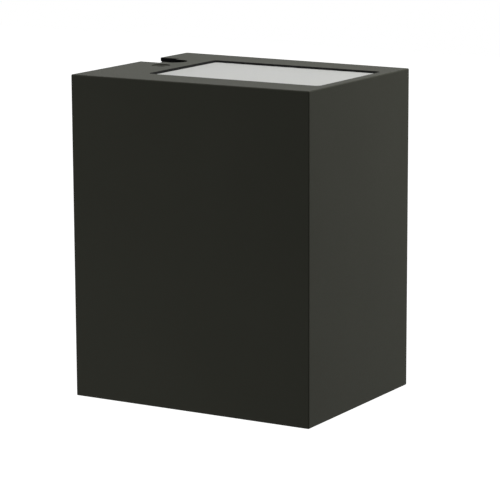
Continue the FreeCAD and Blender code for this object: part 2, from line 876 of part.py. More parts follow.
def slotted_screw(seat):
    """A terminal screw, with its slot across the block."""
    head = rod(terminal_screw_radius, seat, back, terminal_screw_length)
    low = seat.y + terminal_screw_length - terminal_screw_slot
    reach = 2 * terminal_screw_radius
    half = terminal_screw_slot / 2
    slot = block(seat.x - reach, seat.x + reach, low, low + overrun, seat.z - half, seat.z + half)
    return head.cut(slot)


def make_terminal_block():
    half_x = terminal_width / 2
    low = terminal_level - terminal_length / 2
    left = terminal_offset - half_x
    body = block(left, left + terminal_width, cover_back, terminal_face, low, low + terminal_length)
    cuts = []
    clamps = []
    screws = []
    seat_y = clamp_y + clamp_depth / 2
    well = terminal_screw_radius + terminal_well_gap
    half = clamp_opening / 2
    high = low + terminal_length
    for x in pole_places():
        entry = block(x - half, x + half, clamp_y - half, clamp_y + half, low - overrun, high + overrun)
        cuts += [clamp_block(x, clamp_gap), entry]
        clamps.append(clamp_block(x, 0).cut(entry))
        for side in (-1, 1):
            z = terminal_level + side * terminal_screw_spacing / 2
            cuts.append(block(x - well, x + well, seat_y, terminal_face + overrun, z - well, z + well))
            screws.append(slotted_screw(vec(x, seat_y, z)))
    fixings = []
    for x, z in terminal_fixing_places():
        mouth = vec(x, terminal_face + overrun, z)
        cuts.append(rod(screw_hole_radius, mouth, front, terminal_depth + 2 * overrun))
        seat = vec(x, terminal_face, z)
        fixings.append(hex_screw(seat, front, terminal_depth + cover_thickness))
    save("terminal_block", body.cut(cuts).removeSplitter())
    save("terminal_clamps", Part.makeCompound(clamps))
    save("terminal_screws", Part.makeCompound(screws))
    save("terminal_fixing_screws", Part.makeCompound(fixings))


# Lead elbow and breather
def lead_exits():
    return [elbow_offset + side * lead_spacing / 2 for side in (-1, 1)]


def make_lead_elbow():
    """A rubber elbow pressed into the rear cover. Its nose points up, so the leads leave along the cover."""
    half = elbow_width / 2
    left = elbow_offset - half
    low = elbow_level - half
    crown = cover_back + elbow_rise
    body = block(left, left + elbow_width, cover_back, crown, low, low + elbow_width)
    top_edges = [edge for edge in body.Edges if edge.BoundBox.YMax > crown - elbow_chamfer]
    body = body.makeChamfer(elbow_chamfer, top_edges)
    left = elbow_offset - elbow_nose_width / 2
    y_low = cover_back + elbow_wall
    nose = block(left, left + elbow_nose_width, y_low, crown - elbow_wall, elbow_level, elbow_nose_top)
    neck = rod(elbow_neck_radius, vec(elbow_offset, cover_back, elbow_level), front, cover_thickness)
    cuts = [driver_lead(cover_front - overrun, cover_front + driver_lead_insert)]
    low = elbow_nose_top - lead_insert
    for x in lead_exits():
        cuts.append(rod(lead_diameter / 2, vec(x, elbow_nose_y, low), up, lead_insert + overrun))
    save("lead_elbow", body.fuse([nose, neck]).cut(cuts).removeSplitter())


def make_breather():
    """A screw-in vent plug with a hexagonal head."""
    foot = vec(breather_offset, cover_back, breather_level)
    stem = rod(breather_stem_radius, foot, front, breather_stem_length)
    save("breather_plug", hexagon(breather_across, foot, back, breather_height).fuse(stem))


# Mains leads inside the wiring bay
def make_leads():
    """Neutral and live run up from the elbow to the block, and earth runs down from it to the lug."""
    poles = pole_places()
    block_low = terminal_level - terminal_length / 2
    clamped = terminal_level - clamp_length / 2 + lead_insert
    low = elbow_nose_top - lead_insert
    step = lead_bend_share * (block_low - elbow_nose_top)
    for name, exit_x, pole_x in zip(("neutral_lead", "live_lead"), lead_exits(), poles):
        points = [
            (exit_x, elbow_nose_y, low),
            (exit_x, elbow_nose_y, elbow_nose_top + step),
            (pole_x, clamp_y, block_low - step),
            (pole_x, clamp_y, clamped),
        ]
        save(name, round_lead(points, lead_diameter, name))
    barrel_top = earth_level + lug_barrel_start + lug_barrel_length
    barrel_y = cover_back + earth_boss_height + lug_barrel_radius
    step = lead_bend_share * (block_low - barrel_top)
    points = [
        (poles[-1], clamp_y, clamped),
        (poles[-1], clamp_y, block_low - step),
        (earth_offset, barrel_y, barrel_top + step),
        (earth_offset, barrel_y, barrel_top - lug_lead_insert),
    ]
    save("earth_lead", round_lead(points, lead_diameter, "earth_lead"))


def make_earth_lug():
    """A ring lug under the earth screw, with its barrel pointing up to the lead."""
    face = cover_back + earth_boss_height
    foot = vec(earth_offset, face, earth_level)
    ring = rod(lug_radius, foot, back, lug_thickness)
    half = lug_barrel_radius
    barrel_low = earth_level + lug_barrel_start
    neck_top = barrel_low + overrun
    neck = block(earth_offset - half, earth_offset + half, face, face + lug_thickness, earth_level, neck_top)
    barrel_foot = vec(earth_offset, face + lug_barrel_radius, barrel_low)
    barrel = rod(lug_barrel_radius, barrel_foot, up, lug_barrel_length)
    lead_foot = barrel_foot + up * (lug_barrel_length - lug_lead_insert)
    hole_start = foot + front * overrun
    cuts = [rod(lead_diameter / 2, lead_foot, up, lug_lead_insert + overrun)]
    cuts.append(rod(earth_screw_radius + screw_clearance, hole_start, back, lug_thickness + 2 * overrun))
    save("earth_lug", ring.fuse([neck, barrel]).cut(cuts).removeSplitter())
    seat = foot + back * lug_thickness
    head = hexagon(earth_screw_across, seat, back, earth_screw_head_height)
    save("earth_screw", head.fuse(rod(earth_screw_radius, seat, front, earth_screw_length)))


os.makedirs("parts", exist_ok=True)
make_housing()
make_set_screws()
make_windows()
make_wall_bracket()
make_entry_grommet()
make_wall_gasket()
make_rear_cover()
make_cover_gasket()
make_cover_screws()
make_light_core()
make_led_boards()
make_reflectors()
make_driver()
make_driver_leads()
make_terminal_block()
make_lead_elbow()
make_breather()
make_leads()
make_earth_lug()
print("nodes", len(names), "screw slots up", round(slot_spacing_up, 2), "window", round(window_length, 2))
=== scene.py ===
# %% [markdown]
# # An up-and-down wall light in powder-coated aluminium
#
# The object is a small box that hangs on a wall and shines up and down through two windows of satin glass.
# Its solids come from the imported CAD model, in metres: the wall is the plane Y = 0, the front faces -Y and
# Z is up. This script adds what the CAD model leaves out: rounded edges, screw threads, smooth leads, the
# finish of every surface, the light and the camera.

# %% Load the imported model
import bmesh
import bpy
import json
import math
from mathutils import Matrix, Vector


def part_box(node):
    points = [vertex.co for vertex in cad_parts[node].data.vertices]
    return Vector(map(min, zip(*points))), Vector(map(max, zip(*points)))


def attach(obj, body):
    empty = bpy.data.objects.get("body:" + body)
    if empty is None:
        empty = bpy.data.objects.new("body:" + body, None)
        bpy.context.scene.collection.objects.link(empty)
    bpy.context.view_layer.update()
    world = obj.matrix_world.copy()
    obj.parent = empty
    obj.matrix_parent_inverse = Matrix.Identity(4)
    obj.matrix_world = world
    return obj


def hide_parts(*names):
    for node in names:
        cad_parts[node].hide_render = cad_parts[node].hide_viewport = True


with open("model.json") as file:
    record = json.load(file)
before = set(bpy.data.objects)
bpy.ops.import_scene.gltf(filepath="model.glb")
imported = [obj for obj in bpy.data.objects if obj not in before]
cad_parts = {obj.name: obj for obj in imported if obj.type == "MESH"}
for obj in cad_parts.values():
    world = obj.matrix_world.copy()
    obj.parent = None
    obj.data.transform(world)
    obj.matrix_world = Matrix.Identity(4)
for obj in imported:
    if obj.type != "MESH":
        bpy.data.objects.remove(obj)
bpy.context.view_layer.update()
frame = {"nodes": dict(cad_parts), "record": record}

# %% [markdown]
# ## The camera
#
# The photograph looks at the box from its front left and a little above. Placed by eye, a camera would be a
# few degrees off and no edge would lie where the photograph has it. So its place was worked out from the
# seven corners of the box that show: a long lens, 1.18 m away, so that upright edges stay almost parallel.
# Its matrix is built from the view's azimuth, elevation and roll, where azimuth 0 looks straight at the
# front.

# %% Camera
photo_size = 500
camera_place = Vector((-0.9594, -0.6465, 0.2148))
camera_azimuth = math.radians(-58.75)
camera_elevation = math.radians(11.23)
camera_roll = math.radians(-0.24)
camera_focal_pixels = 2488.7
sensor_width = 36.0


def add_object(name, data):
    """Puts a mesh, a camera or a light in the scene."""
    thing = bpy.data.objects.new(name, data)
    bpy.context.scene.collection.objects.link(thing)
    return thing


camera_data = bpy.data.cameras.new("photo_camera")
camera_data.sensor_width = sensor_width
camera_data.lens = camera_focal_pixels * sensor_width / photo_size
camera = add_object("photo_camera", camera_data)
tilt = Matrix.Rotation(math.pi / 2 - camera_elevation, 4, "X")
turn = Matrix.Rotation(camera_azimuth, 4, "Z")
lean = Matrix.Rotation(camera_roll, 4, "Z")
camera.matrix_world = Matrix.Translation(camera_place) @ turn @ tilt @ lean
bpy.context.scene.camera = camera
print("lens", round(camera_data.lens, 1), "mm")

# %% [markdown]
# ## A material and its patterns
#
# Each finish is a small net of shader nodes. Image textures would need every piece to be unwrapped. Noise
# that reads Object coordinates needs no unwrapping and has no seams. Those coordinates are metres here, so
# a noise scale of 1000 has features a millimetre wide. A value that is the same all over, such as the
# metallic weight, is set on the shader's own socket, because an export keeps it there.

# %% Materials and patterns
def grey(level):
    """A colour without any hue."""
    return (level, level, level)


def new_material(name, colour, metallic=0.0, specular=0.5):
    """A material with its main shader set, and the three things that the other helpers need."""
    material = bpy.data.materials.new(name)
    material.use_nodes = True
    tree = material.node_tree
    shader = tree.nodes["Principled BSDF"]
    shader.inputs["Base Color"].default_value = (*colour, 1)
    shader.inputs["Metallic"].default_value = metallic
    shader.inputs["Specular IOR Level"].default_value = specular
    place = tree.nodes.new("ShaderNodeTexCoord").outputs["Object"]
    return material, tree, shader, place


def noise(tree, place, scale, detail=2.0):
    """Soft cloudy noise of a given scale, in features per metre."""
    node = tree.nodes.new("ShaderNodeTexNoise")
    node.inputs["Scale"].default_value = scale
    node.inputs["Detail"].default_value = detail
    tree.links.new(place, node.inputs["Vector"])
    return node.outputs["Fac"]


# %% [markdown]
# ## From a pattern to a surface
#
# A real surface is never one flat colour: its tone, its gloss and its height all vary a little. Noise
# mostly stays between 0.3 and 0.7, so a Map Range node stretches that range to the one that a finish needs.
# A Bump node only tilts the shading, which is enough for a texture of a hundredth of a millimetre. Anything
# larger is real geometry.

# %% Colour, roughness and bump
noise_range = (0.3, 0.7)
whole_range = (0, 1)


def remap(tree, value, source, target):
    """Stretches one range of a value to another range."""
    node = tree.nodes.new("ShaderNodeMapRange")
    for socket, number in zip(("From Min", "From Max", "To Min", "To Max"), (*source, *target)):
        node.inputs[socket].default_value = number
    tree.links.new(value, node.inputs["Value"])
    return node.outputs["Result"]


def vary_colour(tree, shader, value, dark, light):
    """Lets the colour run from the dark to the light one as the value goes from 0 to 1."""
    mix = tree.nodes.new("ShaderNodeMix")
    mix.data_type = "RGBA"
    mix.inputs["A"].default_value = (*dark, 1)
    mix.inputs["B"].default_value = (*light, 1)
    tree.links.new(value, mix.inputs["Factor"])
    tree.links.new(mix.outputs["Result"], shader.inputs["Base Color"])


def vary_roughness(tree, shader, pattern, roughness):
    """Lets the roughness run between two values with a noise."""
    shader.inputs["Roughness"].default_value = sum(roughness) / 2
    tree.links.new(remap(tree, pattern, noise_range, roughness), shader.inputs["Roughness"])


def bump(tree, shader, height, distance, strength=1.0):
    """Raises the surface by a height pattern. distance is in metres."""
    node = tree.nodes.new("ShaderNodeBump")
    node.inputs["Strength"].default_value = strength
    node.inputs["Distance"].default_value = distance
    tree.links.new(height, node.inputs["Height"])
    tree.links.new(node.outputs["Normal"], shader.inputs["Normal"])


# %% [markdown]
# ## A mottled finish
#
# Most of the small parts need no more than one noise that shifts colour, gloss and height together, so one
# function makes them all. A Mapping node can squeeze the coordinates first, which draws the noise out into
# streaks.

# %% Mottled finish
def stretched(tree, place, stretch):
    """Coordinates squeezed along each axis, so that a pattern on them draws out into streaks."""
    mapping = tree.nodes.new("ShaderNodeMapping")
    mapping.inputs["Scale"].default_value = stretch
    tree.links.new(place, mapping.inputs["Vector"])
    return mapping.outputs["Vector"]


def mottled(name, dark, light, roughness, scale, depth, metallic=0.0, specular=0.5, stretch=None):
    """A finish whose colour, roughness and height all vary a little with one noise."""
    material, tree, shader, place = new_material(name, light, metallic, specular)
    if stretch:
        place = stretched(tree, place, stretch)
    pattern = noise(tree, place, scale)
    vary_colour(tree, shader, remap(tree, pattern, noise_range, whole_range), dark, light)
    vary_roughness(tree, shader, pattern, roughness)
    bump(tree, shader, pattern, depth)
    return material


# %% [markdown]
# ## From CAD node to finished piece
#
# A node of the CAD model is a heap of loose triangles with razor-sharp edges. A real part has edges that
# are rounded by the mould, the paint or the tumbler, and it is that thin round that catches the light.
# Rounds in the CAD model would multiply its faces, so they are made here. A piece starts as a copy of its
# node: the triangles are welded, flat faces are joined into one, and a Bevel modifier rounds each sharp
# edge. A Weighted Normal modifier then lets the large faces set the shading, so that they stay flat up to
# the round. The copy stands for the node and rides on the same body.

# %% Helpers for pieces
millimetre = 0.001
weld_distance = 0.01 * millimetre
flat_angle = math.radians(0.5)
smooth_angle = math.radians(32)
flat_face_weight = 50
record = frame["record"]
body_of = {node: body for body, nodes in record["behaviour"]["bodies"].items() for node in nodes}


def welded(node):
    """A bmesh of a CAD node with its triangles joined into whole faces."""
    bm = bmesh.new()
    bm.from_mesh(frame["nodes"][node].data)
    bmesh.ops.remove_doubles(bm, verts=bm.verts, dist=weld_distance)
    bmesh.ops.dissolve_limit(bm, angle_limit=flat_angle, verts=bm.verts, edges=bm.edges)
    return bm


def solids_of(node):
    """The lowest and highest corner of each separate solid in a CAD node."""
    bm = welded(node)
    met = set()
    boxes = []
    for first in bm.verts:
        if first in met:
            continue
        met.add(first)
        reached = [first]
        for vert in reached:
            others = [edge.other_vert(vert) for edge in vert.link_edges]
            new = [other for other in others if other not in met]
            met.update(new)
            reached += new
        low = Vector([min(vert.co[axis] for vert in reached) for axis in range(3)])
        high = Vector([max(vert.co[axis] for vert in reached) for axis in range(3)])
        boxes.append((low, high))
    bm.free()
    return boxes


def mesh_from(bm, name):
    """Turns a bmesh into a mesh. The bmesh is used up."""
    mesh = bpy.data.meshes.new(name)
    bm.to_mesh(mesh)
    bm.free()
    return mesh


def add_piece(bm, node, *materials):
    """Makes a bmesh the object that stands for a CAD node."""
    mesh = mesh_from(bm, node + "_finished")
    mesh.shade_smooth()
    mesh.set_sharp_from_angle(angle=smooth_angle)
    for material in materials:
        mesh.materials.append(material)
    piece = add_object(mesh.name, mesh)
    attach(piece, body_of[node])
    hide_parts(node)
    return piece


def softened(node, material, width, segments=2):
    """A copy of a CAD node with rounded edges, in its place."""
    piece = add_piece(welded(node), node, material)
    rounding = piece.modifiers.new("edge_round", "BEVEL")
    rounding.width = width
    rounding.segments = segments
    rounding.limit_method = "ANGLE"
    rounding.angle_limit = smooth_angle
    rounding.use_clamp_overlap = False
    shading = piece.modifiers.new("flat_shading", "WEIGHTED_NORMAL")
    shading.mode = "FACE_AREA"
    shading.weight = flat_face_weight
    shading.keep_sharp = True
    return piece


# %% [markdown]
# ## Powder coat
#
# The housing is one aluminium casting. Powder coat is a thick paint that melts in an oven: it hides the
# casting under a fine, even texture that scatters light, with no clear reflection but a pale sheen where
# light grazes it. A plain grey would look like a box of paper. So two noises make it: a grain of about half
# a millimetre that is mostly bump, like the skin of an orange, and a wide, weak one that shifts the colour.
# A low specular level keeps the sheen faint.

# %% Powder coat
coat_dark = (0.041, 0.042, 0.0325)
coat_light = (0.048, 0.0492, 0.0385)
coat_roughness = (0.56, 0.68)
coat_specular = 0.085
coat_grain_scale = 2200
coat_grain_depth = 0.05 * millimetre
coat_drift_scale = 22

powder_coat, tree, shader, place = new_material("powder_coat", coat_light, specular=coat_specular)
grain = noise(tree, place, coat_grain_scale, detail=3)
drift = noise(tree, place, coat_drift_scale)
vary_colour(tree, shader, drift, coat_dark, coat_light)
vary_roughness(tree, shader, grain, coat_roughness)
bump(tree, shader, grain, coat_grain_depth, strength=0.5)
print("powder coat nodes", len(tree.nodes))

# %% [markdown]
# ## The housing
#
# Inside the box, in the cable notch and in the screw holes the faces are painted near black. This is painted
# shade for the deep shade in those hollows. Two materials on one mesh are simpler than a mask in the shader,
# because the line between them runs along edges. So a face keeps the coat if it looks out of the box and
# lies near its skin, or is the wall round a screw's shallow recess. If not, it gets the black painted shade.
# The coat rounds every edge to about a tenth of a millimetre.

# %% Housing
casting_edge = 0.1 * millimetre
skin_depth = 2 * millimetre
recess_depth = 0.5 * millimetre
# Near-black painted shade, given to the faces of the cable notch, the screw holes and the inside of the box
# in place of the coat.
black_painted_shade = mottled(
    "black_painted_shade",
    dark=grey(0.003),
    light=grey(0.006),
    roughness=(0.6, 0.75),
    scale=300,
    depth=0.01 * millimetre,
    specular=0.03,
)


def on_the_skin(face, low, high):
    """True for a face that keeps the coat; the others get the near-black painted shade."""
    axis = max(range(3), key=lambda axis: abs(face.normal[axis]))
    side = high if face.normal[axis] > 0 else low
    depth = min(high.z - face.center.z, face.center.z - low.z)
    return abs(side[axis] - face.center[axis]) < skin_depth or depth < recess_depth


housing = softened("housing", powder_coat, casting_edge)
housing.data.materials.append(black_painted_shade)
low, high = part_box("housing")
# Faces off the skin get material 1, the near-black painted shade.
for face in housing.data.polygons:
    face.material_index = 0 if on_the_skin(face, low, high) else 1
print("housing faces", len(housing.data.polygons))

# %% [markdown]
# ## The satin glass
#
# The windows are etched glass: pale, slightly see-through and without a sharp reflection. Part of the light
# goes through to the white reflector and the rest scatters on the etched face. Pure transmission would need
# many samples to look as even, so most of the colour is a plain diffuse one and a quarter is transmission.

# %% Window panes
glass_colour = (0.6, 0.605, 0.584)
glass_share = 0.25
etch_roughness = (0.45, 0.55)
etch_scale = 1800
etch_depth = 0.01 * millimetre
pane_edge = 0.15 * millimetre

satin_glass, tree, shader, place = new_material("satin_glass", glass_colour)
etch = noise(tree, place, etch_scale)
vary_roughness(tree, shader, etch, etch_roughness)
bump(tree, shader, etch, etch_depth, strength=0.5)
shader.inputs["Transmission Weight"].default_value = glass_share
for node in ("window_pane_top", "window_pane_bottom"):
    softened(node, satin_glass, pane_edge)
print("two panes of satin glass")

# %% [markdown]
# ## Black silicone and moulded rubber
#
# A lip of black silicone lines the pocket round each pane and draws the thin dark line round the glass. The
# same kind of material, softer at its edges, makes the grommet in the bracket and the elbow that the mains
# leads come through. It is dark and even, with a faint bloom: a slightly greyer, rougher patchiness. The
# breather is a hard black plastic plug, which is smoother.

# %% Seals, grommet, elbow and breather
seal_edge = 0.12 * millimetre
moulded_edge = 0.35 * millimetre

black_silicone = mottled(
    "black_silicone",
    dark=grey(0.004),
    light=grey(0.008),
    roughness=(0.55, 0.7),
    scale=600,
    depth=0.01 * millimetre,
    specular=0.12,
)
black_rubber = mottled(
    "black_rubber",
    dark=(0.013, 0.013, 0.013),
    light=(0.024, 0.024, 0.023),
    roughness=(0.55, 0.75),
    scale=420,
    depth=0.02 * millimetre,
)
breather_plastic = mottled(
    "breather_plastic",
    dark=(0.02, 0.02, 0.02),
    light=(0.028, 0.028, 0.029),
    roughness=(0.35, 0.5),
    scale=500,
    depth=0.01 * millimetre,
)
for node in ("window_seal_top", "window_seal_bottom"):
    softened(node, black_silicone, seal_edge)
for node in ("entry_grommet", "lead_elbow"):
    softened(node, black_rubber, moulded_edge, segments=3)
softened("breather_plug", breather_plastic, moulded_edge, segments=3)
print("black silicone and rubber")

# %% [markdown]
# ## Foam
#
# The gasket in the rim is closed-cell foam, and the block over the driver is open-cell foam. Foam is a wall
# of little bubbles that were cut through. As geometry they would take millions of faces, so a cell texture
# stands for them. The middle of each cell is deep, and its colour is darker there as painted shade. A wider
# noise, with about four cells to a patch, varies how dull the foam is.

# %% Foam gasket and foam block
cell_hollow = (0.15, 0.6)
foam_roughness = (0.8, 0.98)
foam_specular = 0.2
cells_per_patch = 4


def cells(tree, place, scale):
    """The distance from the nearest of many scattered points: 0 in the middle of each cell."""
    node = tree.nodes.new("ShaderNodeTexVoronoi")
    node.inputs["Scale"].default_value = scale
    tree.links.new(place, node.inputs["Vector"])
    return node.outputs["Distance"]


def foam_finish(name, dark, light, cells_per_metre, depth):
    """Foam that was cut through its cells. The light colour is that of the walls between them, and the dark
    colour is painted shade in the middle of each cell.
    """
    material, tree, shader, place = new_material(name, light, specular=foam_specular)
    wall = remap(tree, cells(tree, place, cells_per_metre), cell_hollow, whole_range)
    # The dark colour towards the middle of each cell is painted shade; the same pattern also drives the
    # bump.
    vary_colour(tree, shader, wall, dark, light)
    vary_roughness(tree, shader, noise(tree, place, cells_per_metre / cells_per_patch), foam_roughness)
    bump(tree, shader, wall, depth)
    return material


closed_cell_foam = foam_finish(
    "closed_cell_foam", dark=grey(0.006), light=grey(0.03), cells_per_metre=2600, depth=0.08 * millimetre
)
open_cell_foam = foam_finish(
    "open_cell_foam", dark=grey(0.03), light=grey(0.09), cells_per_metre=1500, depth=0.2 * millimetre
)
softened("wall_gasket", closed_cell_foam, moulded_edge)
softened("driver_foam", open_cell_foam, moulded_edge)
print("foam gasket and foam block")

# %% [markdown]
# ## A thread
#
# A thread is a row of teeth turned round an axis while it climbs by one pitch. A Screw modifier could draw
# it, but the spin operator makes it in the bmesh itself, where the rest of the screw can be joined to it:
# its dvec moves the profile a little at each step. The row starts a little too low and has a few teeth to
# spare, because it climbs. The first and the last profile meet, so their doubles are merged. Two cuts then
# trim the ends flat, and the slivers that they leave are dissolved. Screws are made in millimetres along Z.

# %% Thread
thread_steps = 24
thread_depth_share = 0.55
teeth_below = 1.5
spare_teeth = 4
sliver_length = 0.01
level_tolerance = 0.0001


def thread_wall(bm, radius, pitch, low, high):
    """The threaded side of a screw between two heights, open at both ends."""
    root = radius - thread_depth_share * pitch
    chain = []
    for tooth in range(int((high - low) / pitch) + spare_teeth):
        foot = low + (tooth - teeth_below) * pitch
        chain += [bm.verts.new((root, 0, foot)), bm.verts.new((radius, 0, foot + pitch / 2))]
    profile = [bm.edges.new(pair) for pair in zip(chain, chain[1:])]
    bmesh.ops.spin(
        bm,
        geom=chain + profile,
        cent=(0, 0, 0),
        axis=(0, 0, 1),
        dvec=(0, 0, pitch / thread_steps),
        angle=2 * math.pi,
        steps=thread_steps,
    )
    bmesh.ops.remove_doubles(bm, verts=bm.verts, dist=level_tolerance)
    for height, side in ((low, -1), (high, 1)):
        bmesh.ops.bisect_plane(
            bm,
            geom=bm.verts[:] + bm.edges[:] + bm.faces[:],
            plane_co=(0, 0, height),
            plane_no=(0, 0, side),
            clear_outer=True,
        )
    bmesh.ops.dissolve_degenerate(bm, edges=bm.edges, dist=sliver_length)


# %% [markdown]
# ## Loops, rims and tips
#
# A screw's other faces could be cut with a Boolean, which leaves ragged triangles. Here they are drawn from
# loops of edges instead: a loop is joined to the next one, pushed along the axis, or closed by a face. A
# hexagon's sides are divided, so that it has as many points as the round rim that it may be joined to. A
# finished screw is turned, scaled to metres and moved to its place in one step.

# %% Helpers for screws
rim_points = 24
hexagon_sides = 6


def open_loop(bm, height):
    """The open edges that lie at one height."""

    def level(edge):
        return all(abs(vert.co.z - height) < level_tolerance for vert in edge.verts)

    return [edge for edge in bm.edges if not edge.is_manifold and level(edge)]


def intact(edges):
    """Those of the edges that an operator has left in place."""
    return [edge for edge in edges if edge.is_valid]


def edges_in(geometry):
    """The edges in what an operator made, each once."""
    return list(dict.fromkeys(part for part in geometry if isinstance(part, bmesh.types.BMEdge)))


def circle_at(bm, radius, height, segments=rim_points):
    """A loose ring of edges round the axis."""
    verts = bmesh.ops.create_circle(bm, segments=segments, radius=radius)["verts"]
    bmesh.ops.translate(bm, verts=verts, vec=(0, 0, height))
    return edges_in(edge for vert in verts for edge in vert.link_edges)


def hexagon_at(bm, flats, height):
    """A loose hexagon of a given width across its flats, with as many points as a rim."""
    sides = circle_at(bm, flats / math.sqrt(3), height, hexagon_sides)
    made = bmesh.ops.subdivide_edges(bm, edges=sides, cuts=rim_points // hexagon_sides - 1)
    return edges_in(made["geom_inner"] + made["geom"])


def push_loop(bm, edges, height, scale=1.0):
    """Draws a wall from a loop of edges, up or down by a height, and narrows it."""
    made = bmesh.ops.extrude_edge_only(bm, edges=edges)["geom"]
    verts = [part for part in made if isinstance(part, bmesh.types.BMVert)]
    bmesh.ops.scale(bm, verts=verts, vec=(scale, scale, 1))
    bmesh.ops.translate(bm, verts=verts, vec=(0, 0, height))
    return edges_in(made)


def close_tip(bm, low, chamfer, radius):
    """Narrows a screw's lower end by its chamfer and closes it."""
    tip = push_loop(bm, open_loop(bm, low), -chamfer, (radius - chamfer) / radius)
    bmesh.ops.contextual_create(bm, geom=tip)


def seat_screw(bm, place, turn_about_x):
    """Takes a screw from its own millimetres to its place in the lamp."""
    matrix = Matrix.Translation(place) @ Matrix.Rotation(turn_about_x, 4, "X") @ Matrix.Scale(millimetre, 4)
    bmesh.ops.transform(bm, matrix=matrix, verts=bm.verts)
    bmesh.ops.recalc_face_normals(bm, faces=bm.faces)


# %% [markdown]
# ## The set screws
#
# The two set screws are M4 and lock the lamp on its bracket. Their socket is a hexagon joined to the
# screw's rim and pushed inwards. They are of hard steel that was blackened and oiled. The black layer is an
# oxide, not a metal, so it gets no metallic weight, and the key has rubbed it off the rim of the socket,
# which shows bare steel.

# %% Set screws
m4_pitch = 0.7
m4_set_screw = {"pitch": m4_pitch, "chamfer": 0.4, "socket": 2.0, "socket_depth": 2.2, "worn_rim": 0.2}
black_steel = mottled(
    "black_steel",
    dark=(0.004, 0.004, 0.004),
    light=(0.009, 0.009, 0.0095),
    roughness=(0.5, 0.62),
    scale=1400,
    depth=0.01 * millimetre,
    specular=0.03,
)
stainless = mottled(
    "stainless",
    dark=(0.42, 0.415, 0.4),
    light=(0.56, 0.55, 0.53),
    roughness=(0.22, 0.36),
    scale=1400,
    depth=0.01 * millimetre,
    metallic=1,
)


def set_screw_mesh(radius, length, pitch, chamfer, socket, socket_depth, worn_rim):
    """A set screw whose top face lies at height 0, in millimetres. The socket's worn rim has material 1."""
    bm = bmesh.new()
    thread_wall(bm, radius, pitch, chamfer - length, -chamfer)
    rim = circle_at(bm, radius - chamfer, 0)
    bmesh.ops.bridge_loops(bm, edges=open_loop(bm, -chamfer) + rim)
    mouth_width = socket + 2 * worn_rim
    mouth = hexagon_at(bm, mouth_width, 0)
    bmesh.ops.bridge_loops(bm, edges=intact(rim) + mouth)
    coated = set(bm.faces)
    wall = push_loop(bm, intact(mouth), -worn_rim, socket / mouth_width)
    for face in set(bm.faces) - coated:
        face.material_index = 1
    bottom = push_loop(bm, wall, worn_rim - socket_depth)
    bmesh.ops.contextual_create(bm, geom=bottom)
    close_tip(bm, chamfer - length, chamfer, radius)
    return bm


for node, turn_over in (("set_screw_top", 0), ("set_screw_bottom", math.pi)):
    low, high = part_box(node)
    size = (high - low) / millimetre
    screw = set_screw_mesh(size.x / 2, size.z, **m4_set_screw)
    middle = (low + high) / 2
    top = low.z if turn_over else high.z
    seat_screw(screw, (middle.x, middle.y, top), turn_over)
    add_piece(screw, node, black_steel, stainless)
print("set screw", round(size.z, 1), "mm long")

# %% [markdown]
# ## Screws with hexagonal heads
#
# The cover, the light core, the terminal block and the earth lead are held by screws with hexagonal heads.
# A pressed head has a shallow dish in its top, and its underside rises a little towards the corners, which
# a plain prism lacks. Each screw is built once for every solid of its node, where that solid stands.

# %% Screws with hexagonal heads
underside_rise = 0.15
dish_edge_share = 0.18
dish_depth_share = 0.12
tip_chamfer_share = 0.25
m3_screw = {"head_height": 2.0, "radius": 1.5, "pitch": 0.5}
m4_screw = {"head_height": 2.8, "radius": 2.0, "pitch": m4_pitch}


def hexagon_screw_mesh(flats, length, head_height, radius, pitch):
    """A screw whose head sits on height 0, in millimetres."""
    bm = bmesh.new()
    chamfer = radius * tip_chamfer_share
    thread_wall(bm, radius, pitch, chamfer - length, 0)
    side = hexagon_at(bm, flats, underside_rise)
    bmesh.ops.bridge_loops(bm, edges=open_loop(bm, 0) + side)
    top = push_loop(bm, intact(side), head_height - underside_rise)
    cap = bmesh.ops.contextual_create(bm, geom=top)["faces"]
    bmesh.ops.inset_region(bm, faces=cap, thickness=flats * dish_edge_share)
    bmesh.ops.translate(bm, verts=cap[0].verts, vec=(0, 0, -head_height * dish_depth_share))
    close_tip(bm, chamfer - length, chamfer, radius)
    return bm


def hexagon_screws(node, material, head_height, radius, pitch):
    """All screws of a node, with their heads towards the wall and their flats across Z."""
    whole = bmesh.new()
    for low, high in solids_of(node):
        size = (high - low) / millimetre
        one = hexagon_screw_mesh(size.z, size.y - head_height, head_height, radius, pitch)
        middle = (low + high) / 2
        seat_screw(one, (middle.x, high.y - head_height * millimetre, middle.z), -math.pi / 2)
        mesh = mesh_from(one, "one_screw")
        whole.from_mesh(mesh)
        bpy.data.meshes.remove(mesh)
    add_piece(whole, node, material)


# %% [markdown]
# ## Zinc plating and brass
#
# Zinc plating is a bright, thin coat on steel, with a faint blue cast and a drift of warmer patches. A cell
# texture would draw the large crystals of dipped zinc, which plated parts don't have, so it is soft noise.
# Its gloss follows the grain of the steel below: even on a screw, drawn out into streaks on rolled sheet.
# The cover's screws are stainless, as they are near the weather, and the earth screw is turned from brass.

# %% Zinc, brass and the screws
zinc_cool = (0.5, 0.52, 0.55)
zinc_warm = (0.6, 0.6, 0.59)
zinc_patch_scale = 60
zinc_depth = 0.01 * millimetre
patch_range = (0.35, 0.65)


def zinc_plating(name, stretch, roughness):
    """Zinc plating whose streaks are drawn out by the stretch of each axis."""
    material, tree, shader, place = new_material(name, zinc_warm, metallic=1)
    patches = remap(tree, noise(tree, place, zinc_patch_scale), patch_range, whole_range)
    vary_colour(tree, shader, patches, zinc_cool, zinc_warm)
    streaks = noise(tree, stretched(tree, place, stretch), 1)
    vary_roughness(tree, shader, streaks, roughness)
    bump(tree, shader, streaks, zinc_depth)
    return material


